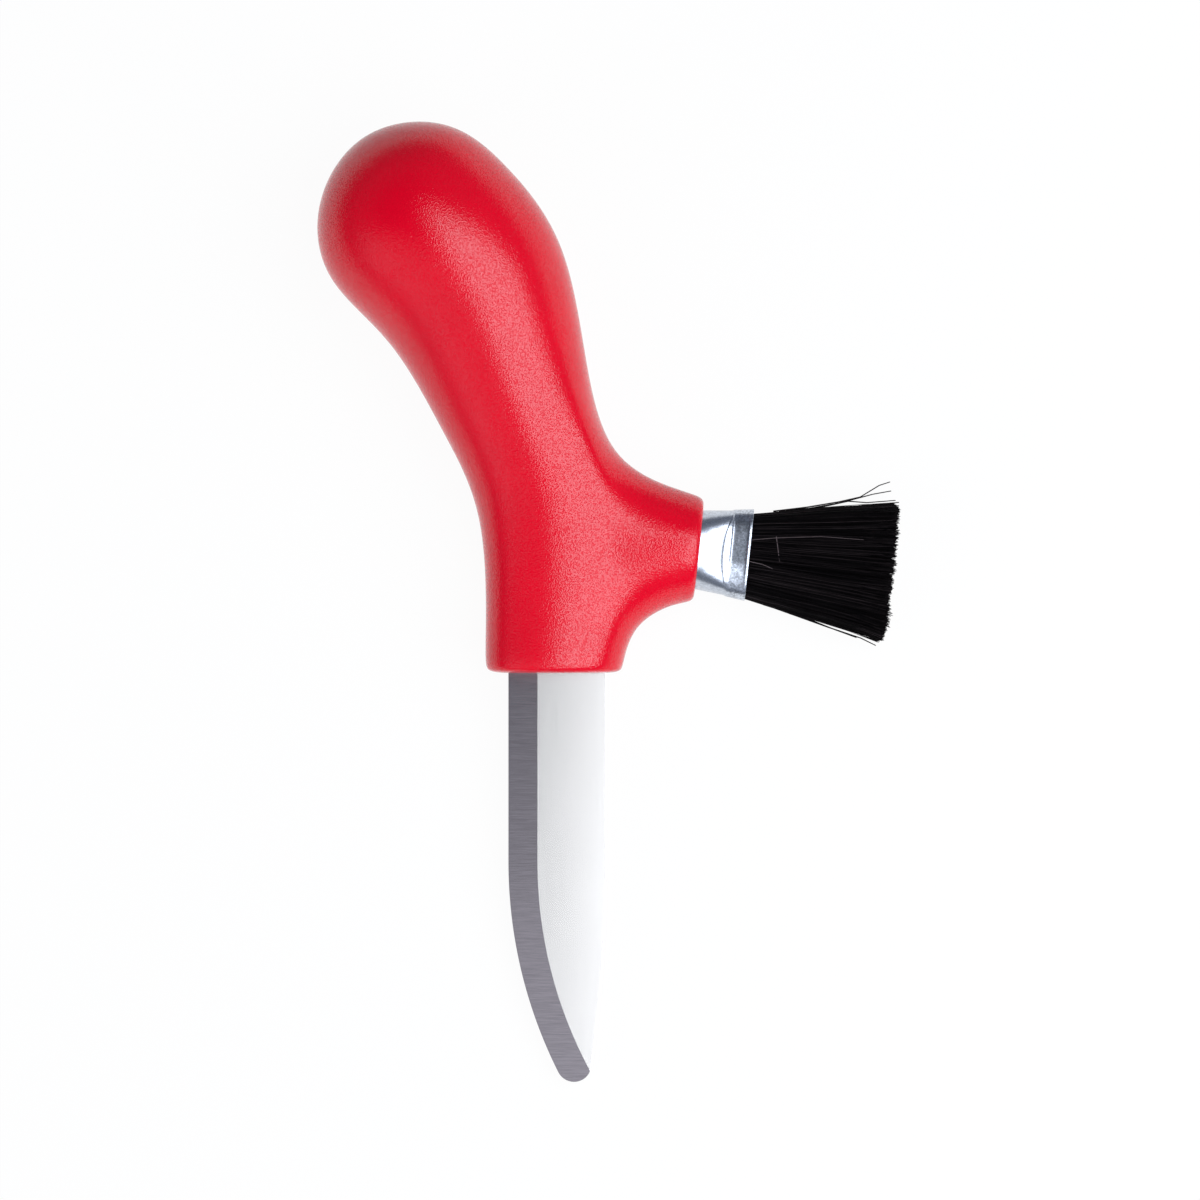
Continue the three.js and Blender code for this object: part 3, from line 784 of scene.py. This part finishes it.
def pressed_half_width(half, round_half):
    """Half the width of a round tube that is pressed to half a thickness, with its girth kept."""
    return half + QUARTER_TURN * (round_half - half)


def pressed_point(index, half_width, level, power):
    """A point of the pressed tube's section."""
    around = spoke(index, FERRULE_POINTS)
    y, z = [math.copysign(abs(part) ** (ROUND_POWER / power), part) for part in around.xy]
    return half_width * y, level * z


def ferrule_rings(brush):
    """The rings of the tube from its seat to its lip and back inside: reach, level of flats, inset, bow."""
    round_half = brush.ferrule_diameter / 2
    reach = brush.ferrule_reach
    crimp = reach - MOUTH_BAND
    pressed = brush.mouth_thickness / 2
    creased = pressed + PRESSED_RISE
    valley = pressed - CRIMP_DEPTH
    flared = valley + MOUTH_FLARE
    lip = flared + LIP_HEIGHT
    lip_start = reach - LIP_LENGTH
    middle = (round_half + creased) / 2
    shoulder = round_half + (creased - round_half) * SHOULDER_REACH / CREASE_REACH
    before_crease = creased + (round_half - creased) * CREASE_MARGIN / CREASE_REACH
    return [
        (-FERRULE_SEAT, round_half, 0, 0),
        (-FERRULE_SEAT / 2, round_half, 0, 0),
        (-CREASE_BOW, round_half, 0, 0),
        (0, round_half, 0, 0),
        (SHOULDER_REACH, shoulder, 0, 0),
        (CREASE_REACH / 2, middle, 0, CREASE_BOW / 2),
        (CREASE_REACH - CREASE_MARGIN, before_crease, 0, CREASE_BOW),
        (CREASE_REACH - CREASE_STEP, creased, 0, CREASE_BOW),
        (CREASE_REACH, creased - CREASE_DEPTH, 0, CREASE_BOW),
        (CREASE_REACH + CREASE_STEP, creased, 0, CREASE_BOW),
        (CREASE_REACH + CREASE_MARGIN, creased, 0, CREASE_BOW),
        (crimp - CRIMP_WIDTH, pressed, 0, 0),
        (crimp, valley, 0, 0),
        (crimp + CREASE_STEP, valley, 0, 0),
        (lip_start - CREASE_STEP, flared, 0, 0),
        (lip_start, flared + LIP_HEIGHT / 2, 0, 0),
        (lip_start + CREASE_STEP, lip, 0, 0),
        (reach - CREASE_STEP, lip, 0, 0),
        (reach, flared, 0, 0),
        (reach - CREASE_STEP, flared, FERRULE_WALL, 0),
        (crimp, valley, FERRULE_WALL, 0),
        (CREASE_REACH / 2, middle, FERRULE_WALL, 0),
        (-FERRULE_SEAT / 2, round_half, FERRULE_WALL, 0),
        (-FERRULE_SEAT, round_half, FERRULE_WALL, 0),
    ]


def model_ferrule(brush):
    """The sheet tube, round in the handle and pressed flat at its mouth."""
    bm = bmesh.new()
    loops = []
    creased = []
    round_half = brush.ferrule_diameter / 2
    crimp = brush.ferrule_reach - MOUTH_BAND
    lip_start = brush.ferrule_reach - LIP_LENGTH
    for reach, level, inset, bow in ferrule_rings(brush):
        share = max(0, reach / brush.ferrule_reach)
        half = round_half + (brush.mouth_thickness / 2 - round_half) * share
        half_width = pressed_half_width(half, round_half)
        power = SEAT_POWER + (FLAT_POWER - SEAT_POWER) * min(1, max(0, reach / CREASE_REACH))
        points = []
        for index in range(FERRULE_POINTS):
            y, z = pressed_point(index, half_width - inset, level - inset, power)
            on_lap = crimp <= reach < lip_start and y < LAP_EDGE and z > 0
            lift = LAP_HEIGHT * (lip_start - reach) / (lip_start - crimp) if on_lap else 0
            aside = min(1, abs(y) / CREASE_HALF_WIDTH)
            points.append(BRUSH_IN_PLANE @ Vector((reach + bow * aside ** 2, y, z + lift)))
            if reach == CREASE_REACH and abs(y) < CREASE_SHADE_HALF_LENGTH:
                creased.append((len(loops), index))
        loops.append(drawn_loop(bm, loops[-1], points) if loops else new_loop(bm, points))
    # The faces in the crease take the second, darker plate: a painted shade along the crease
    for ring, index in creased:
        for face in loops[ring][index].link_faces:
            face.material_index = 1
    ends = [edge for edge in bm.edges if edge.is_boundary]
    bmesh.ops.bridge_loops(bm, edges=ends)
    return bm


class Tuft:
    """Where the hairs stand in the mouth, and how they fan out to their tips."""

    def __init__(self, brush):
        self.reach = brush.ferrule_reach
        self.length = brush.hair_length
        inset = FERRULE_WALL + brush.hair_thickness / 2
        mouth = brush.mouth_thickness / 2
        self.half_thickness = mouth - inset
        self.half_width = pressed_half_width(mouth, brush.ferrule_diameter / 2) - inset
        self.spread = brush.fan_width / 2 / self.half_width
        self.rise = brush.fan_thickness / 2 / self.half_thickness
        chance = random.Random(SEED)
        self.locks = [self.root(chance, -self.half_width, self.half_width) for _ in range(LOCK_COUNT)]
        self.lock_lengths = {lock: chance.gauss(0, LOCK_UNEVENNESS) for lock in self.locks}

    def root(self, chance, low, high):
        """A random place in the mouth between two limits of its width."""
        while True:
            y = chance.uniform(low, high)
            z = chance.uniform(-self.half_thickness, self.half_thickness)
            shares = (abs(y) / self.half_width, abs(z) / self.half_thickness)
            if sum(share ** FLAT_POWER for share in shares) <= 1:
                return y, z

    def path(self, chance, low, high):
        """The points of one hair from its root inside the ferrule to its cut tip, in the brush's frame."""
        y, z = self.root(chance, low, high)
        lock = min(self.locks, key=lambda place: math.hypot(place[0] - y, place[1] - z))
        away = math.hypot(lock[0] - y, lock[1] - z)
        aside = y / self.half_width
        pull = LOCK_PULL * (1 - aside ** 2) * chance.random()
        end_y = (y + (lock[0] - y) * pull) * self.spread + FAN_SKEW + chance.gauss(0, HAIR_WAVE / 2)
        end_z = (z + (lock[1] - z) * pull) * self.rise + chance.gauss(0, HAIR_WAVE / 2)
        start = self.reach - HAIR_ROOT_DEPTH
        end = self.reach + self.length + self.lock_lengths[lock] - LOCK_TAPER * away
        end -= CORNER_WEAR * aside ** CORNER_POWER + HAIR_UNEVENNESS * chance.random()
        bow = SIDE_BOW * min(0, aside) ** 2
        wave_y, wave_z = chance.gauss(0, HAIR_WAVE), chance.gauss(0, HAIR_WAVE)
        points = []
        for step in range(HAIR_STEPS + 1):
            share = step / HAIR_STEPS
            wave = math.sin(math.pi * share) * share
            root_y = y * ROOT_SHARE + ROOT_SKEW
            points.append((
                start + (end - start) * share,
                root_y + (end_y - root_y) * share + wave_y * wave + bow * math.sin(math.pi * share ** 2),
                z + (end_z - z) * share + wave_z * wave,
            ))
        return points


# Loose hairs, the dark ones above and below the brush and the light ones across its face, in millimetres
# in its frame
DARK_STRAYS = [
    [(12, 7.9, 1), (17.7, 9.2, 1.2), (23.1, 10.7, 1.4), (26.6, 11.9, 1.5), (29.6, 14.2, 1.6), (31.4, 15, 2)],
    [(13, 8.1, 0.4), (18, 9, 0.4), (23.2, 10.5, 0.5), (26.6, 11.8, 0.6), (28.7, 12.6, 0.6), (31.8, 13.5, 1)],
    [(14, 8.2, -0.4), (18.9, 9.1, -0.5), (24.7, 11, -0.6), (27.9, 11.1, -0.8), (32.8, 12, -0.8)],
    [(24, 9.8, 0), (28.9, 10.9, 0), (33.4, 11.7, 0)],
    [(12, -8.2, 0.8), (19.3, -9.7, 0.9), (24.6, -11.2, 1), (28.5, -12.2, 1)],
    [(14, -8.6, 0), (23.4, -10.9, 0), (29.3, -12.2, 0), (32, -13.2, 0)],
]
LIGHT_STRAYS = [
    [(7.5, 2.3, 4.2), (9.3, 2.7, 4.5), (13.1, 3.4, 4.7), (20.6, 4.4, 5.1), (27.8, 4.6, 4.9)],
    [(12.9, 3.6, 4.3), (13.4, 1.4, 4.7), (13.9, -0.7, 4.3)],
    [(7.5, -0.9, 4.2), (9.4, -1.2, 4.5), (11.1, -1.4, 4.6), (12.9, -2, 4.4)],
]


def hair_mesh(name, paths, thickness):
    """Thin tapering hairs along the paths, which are in metres in the brush's frame."""
    curve = bpy.data.curves.new(name, "CURVE")
    curve.dimensions = "3D"
    curve.bevel_depth = thickness / 2
    curve.bevel_resolution = 0
    curve.use_fill_caps = True
    for path in paths:
        spline = curve.splines.new("POLY")
        spline.points.add(len(path) - 1)
        for step, (point, place) in enumerate(zip(spline.points, path)):
            point.co = (*(BRUSH_PLACE @ Vector(place)), 1)
            point.radius = 1 + (HAIR_TIP_SHARE - 1) * step / (len(path) - 1)
    holder = bpy.data.objects.new(name, curve)
    bpy.context.scene.collection.objects.link(holder)
    ready = holder.evaluated_get(bpy.context.evaluated_depsgraph_get())
    mesh = bpy.data.meshes.new_from_object(ready)
    bpy.data.objects.remove(holder)
    bpy.data.curves.remove(curve)
    return mesh


# Operators


class MUSHROOM_KNIFE_OT_handle(bpy.types.Operator):
    """Model the moulded handle"""

    bl_idname = "mushroom_knife.handle"
    bl_label = "Handle"
    bl_options = {"REGISTER", "UNDO"}

    def execute(self, context):
        knife = context.scene.mushroom_knife
        bm = model_handle(knife.handle, knife.brush)
        plastic = moulded_polypropylene(knife.handle.colour)
        piece = new_piece(bm, "handle_moulding", [plastic], ["handle"])
        smooth_by_subdivision(piece, HANDLE_SMOOTHING)
        return {"FINISHED"}


class MUSHROOM_KNIFE_OT_blade(bpy.types.Operator):
    """Model the ground blade"""

    bl_idname = "mushroom_knife.blade"
    bl_label = "Blade"
    bl_options = {"REGISTER", "UNDO"}

    def execute(self, context):
        blade = context.scene.mushroom_knife.blade
        plan = BladePlan(blade)
        wastes = [model_grinding(blade, plan, side) for side in (1, -1)]
        bm = cut_away(model_strip(blade, plan), wastes)
        bmesh.ops.remove_doubles(bm, verts=bm.verts, dist=MERGE_DISTANCE)
        bm.normal_update()
        round_spine(bm)
        for face in bm.faces:
            tilted = SLOPED < abs(face.normal.z) < math.cos(SHARP_ANGLE)
            face.material_index = 1 if tilted else 0
        steels = [polished_steel(blade.flat_colour), ground_steel(blade.bevel_colour)]
        new_piece(bm, "blade_ground", steels, ["blade"], SHARP_ANGLE)
        return {"FINISHED"}


class MUSHROOM_KNIFE_OT_ferrule(bpy.types.Operator):
    """Model the ferrule of the brush and finish the setting inside it"""

    bl_idname = "mushroom_knife.ferrule"
    bl_label = "Ferrule"
    bl_options = {"REGISTER", "UNDO"}

    def execute(self, context):
        brush = context.scene.mushroom_knife.brush
        bm = model_ferrule(brush)
        plates = [
            tin_plate("tinplate_pressed", brush.ferrule_colour),
            # The second plate is the same sheet in a darker grey, a painted shade for the crease
            tin_plate("tinplate_crease_shade", brush.crease_shade_colour),
        ]
        piece = new_piece(bm, "ferrule_pressed", plates, ["brush_ferrule"])
        smooth_by_subdivision(piece, FERRULE_SMOOTHING)
        setting = frame["nodes"]["brush_setting"]
        setting.data.materials.clear()
        setting.data.materials.append(cast_resin())
        return {"FINISHED"}


class MUSHROOM_KNIFE_OT_hair(bpy.types.Operator):
    """Model the hair of the brush"""

    bl_idname = "mushroom_knife.hair"
    bl_label = "Hair"
    bl_options = {"REGISTER", "UNDO"}

    def execute(self, context):
        brush = context.scene.mushroom_knife.brush
        tuft = Tuft(brush)
        share = 2 * tuft.half_width / BUNDLE_COUNT
        hair = brush_hair("horsehair_black", brush.hair_colour)
        for bundle in range(BUNDLE_COUNT):
            chance = random.Random(SEED + bundle + 1)
            low = bundle * share - tuft.half_width
            paths = [tuft.path(chance, low, low + share) for _ in range(brush.hair_count)]
            name = f"hair_{bundle + 1}"
            mesh = hair_mesh(name, paths, brush.hair_thickness)
            mesh_piece(mesh, name, [hair], [f"bristles_{bundle + 1}"])
        light = brush_hair("horsehair_grey", brush.loose_hair_colour)
        for name, strays, material, thickness in (
            ("hair_loose_dark", DARK_STRAYS, hair, brush.loose_hair_thickness),
            ("hair_loose_light", LIGHT_STRAYS, light, brush.hair_thickness),
        ):
            paths = [[Vector(point) * MM for point in stray] for stray in strays]
            mesh_piece(hair_mesh(name, paths, thickness), name, [material])
        return {"FINISHED"}


# Stage

# What the photo shows of the knife's plane: its width and its middle
PHOTO_WIDTH = 206.4 * MM
PHOTO_MIDDLE = Vector((8, 12.56, 0)) * MM
SENSOR_WIDTH = 36
FLOOR_SIZE = 12
FLOOR_GLOW = 0.95
# The hood grows darker between two heights, in metres
HOOD_RADIUS = 5
HOOD_DARKENS = (3.2, 4)
# The key softbox and the fill panel, each by the angles in degrees of its left, right, low and high sides
SOFTBOX_HEIGHT = 0.6
KEY_SIDES = (2.6, 55, -35, 29)
FILL_SIDES = (-66, 1.5, -62, -3)
# The low card on the left, which lights the sides that face it
LEFT_CARD_PLACE = Vector((-1.4, -0.9, 0.5))
CARD_SIZE = (0.8, 2.2)


def seen_rays(tree):
    """One for rays that show the background: straight from the camera, off gloss and through glass."""
    path = add_node(tree, "LightPath").outputs
    both = computed(tree, "MAXIMUM", path["Is Camera Ray"], path["Is Glossy Ray"])
    return computed(tree, "MAXIMUM", both, path["Is Transmission Ray"])


def white_paper():
    """White background paper: matt, and lit from below so that only a faint shadow stays."""
    material, tree = new_material("background_paper")
    paper = add_node(tree, "BsdfDiffuse", {"Color": linear("#F4F4F4")})
    glow = add_node(tree, "Emission", {"Color": linear("#FFFFFF"), "Strength": 1})
    share = computed(tree, "MULTIPLY", seen_rays(tree), FLOOR_GLOW)
    lit = add_node(tree, "MixShader", {0: share, 1: paper.outputs["BSDF"], 2: glow.outputs["Emission"]})
    add_node(tree, "OutputMaterial", {"Surface": lit.outputs["Shader"]})
    return material


def dark_cloth():
    """The dim cloth round the table, darker above it, which metal and gloss show as their dark bands."""
    material, tree = new_material("stage_cloth")
    place = add_node(tree, "SeparateXYZ", {"Vector": add_node(tree, "TexCoord").outputs["Object"]})
    high = ranged(tree, place.outputs["Z"], (0, 1), HOOD_DARKENS)
    cloth = mixed(tree, high, linear("#656A76"), linear("#2C3038"))
    dim = add_node(tree, "Emission", {"Color": cloth, "Strength": 1})
    add_node(tree, "OutputMaterial", {"Surface": dim.outputs["Emission"]})
    return material


def stage_object(bm, name, material):
    """A floor or backdrop, which isn't a piece of the knife."""
    made = scratch_object(bm, name)
    made.data.materials.append(material)
    return made


def add_lamp(name, place, aim, width, length, radiance, colour):
    """Places a flat lamp of this radiance in the frame of the knife's plane, hidden from the camera."""
    lamp = bpy.data.lights.new(name, "AREA")
    lamp.shape = "RECTANGLE"
    lamp.size = width
    lamp.size_y = length
    lamp.energy = radiance * math.pi * width * length
    lamp.color = colour[:3]
    holder = bpy.data.objects.new(name, lamp)
    bpy.context.scene.collection.objects.link(holder)
    turn = (aim - place).to_track_quat("-Z", "Y").to_matrix().to_4x4()
    holder.matrix_world = LIE @ Matrix.Translation(place) @ turn
    holder.visible_camera = False
    return holder


def add_softbox(name, sides, radiance, colour):
    """Places a softbox level with the knife's plane, by the angles of its sides."""
    left, right, low, high = [SOFTBOX_HEIGHT * math.tan(math.radians(side)) for side in sides]
    above = Vector(((left + right) / 2, (low + high) / 2, SOFTBOX_HEIGHT))
    add_lamp(name, above, above - ALONG_Z, right - left, high - low, radiance, colour)


class MUSHROOM_KNIFE_OT_stage(bpy.types.Operator):
    """Set up the floor, the light and the camera"""

    bl_idname = "mushroom_knife.stage"
    bl_label = "Stage"
    bl_options = {"REGISTER", "UNDO"}

    def execute(self, context):
        scene = context.scene
        stage = scene.mushroom_knife.stage
        scene.view_settings.view_transform = "Standard"

        camera = bpy.data.cameras.new("camera")
        camera.sensor_width = SENSOR_WIDTH
        camera.lens = SENSOR_WIDTH * stage.camera_distance / PHOTO_WIDTH
        holder = bpy.data.objects.new("camera", camera)
        scene.collection.objects.link(holder)
        holder.matrix_world = LIE @ Matrix.Translation(PHOTO_MIDDLE + ALONG_Z * stage.camera_distance)
        scene.camera = holder

        floor = bmesh.new()
        bmesh.ops.create_grid(floor, x_segments=1, y_segments=1, size=FLOOR_SIZE)
        stage_object(floor, "floor", white_paper())

        dome = bmesh.new()
        bmesh.ops.create_uvsphere(dome, u_segments=32, v_segments=16, radius=HOOD_RADIUS)
        hood = stage_object(dome, "hood", dark_cloth())
        hood.visible_camera = False
        hood.visible_diffuse = False
        hood.visible_transmission = False
        hood.visible_shadow = False

        cool = stage.light_colour
        add_softbox("key_softbox", KEY_SIDES, stage.key_radiance, cool)
        add_softbox("fill_panel", FILL_SIDES, stage.fill_radiance, cool)
        card = add_lamp("left_card", LEFT_CARD_PLACE, Vector(), *CARD_SIZE, stage.left_radiance, cool)
        card.visible_glossy = False

        world = bpy.data.worlds.new("studio")
        world.use_nodes = True
        tree = world.node_tree
        tree.nodes.clear()
        strength = ranged(tree, seen_rays(tree), (stage.ambient, 1))
        around = add_node(tree, "Background", {"Color": linear("#FFFFFF"), "Strength": strength})
        add_node(tree, "OutputWorld", {"Surface": around.outputs["Background"]})
        scene.world = world
        return {"FINISHED"}


class MUSHROOM_KNIFE_PT_sidebar(bpy.types.Panel):
    """Settings and steps of the knife"""

    bl_label = "Mushroom Knife"
    bl_space_type = "VIEW_3D"
    bl_region_type = "UI"
    bl_category = "Knife"

    def draw(self, context):
        knife = context.scene.mushroom_knife
        for operator, settings in STEPS:
            box = self.layout.box()
            box.operator(operator.bl_idname)
            group = getattr(knife, settings)
            for name in group.bl_rna.properties.keys():
                if name not in ("rna_type", "name"):
                    box.prop(group, name)


STEPS = (
    (MUSHROOM_KNIFE_OT_stage, "stage"),
    (MUSHROOM_KNIFE_OT_handle, "handle"),
    (MUSHROOM_KNIFE_OT_blade, "blade"),
    (MUSHROOM_KNIFE_OT_ferrule, "brush"),
    (MUSHROOM_KNIFE_OT_hair, "brush"),
)
CLASSES = (
    HandleSettings,
    BladeSettings,
    BrushSettings,
    StageSettings,
    KnifeSettings,
    *[operator for operator, _ in STEPS],
    MUSHROOM_KNIFE_PT_sidebar,
)


def register():
    """Makes the settings, the steps and the panel known to Blender."""
    for kind in CLASSES:
        bpy.utils.register_class(kind)
    bpy.types.Scene.mushroom_knife = PointerProperty(type=KnifeSettings)


def unregister():
    """Takes them away again."""
    del bpy.types.Scene.mushroom_knife
    for kind in reversed(CLASSES):
        bpy.utils.unregister_class(kind)


def main():
    """Models the knife on its stage."""
    register()
    bpy.ops.mushroom_knife.stage()
    bpy.ops.mushroom_knife.handle()
    bpy.ops.mushroom_knife.blade()
    bpy.ops.mushroom_knife.ferrule()
    bpy.ops.mushroom_knife.hair()


if __name__ == "__main__":
    main()
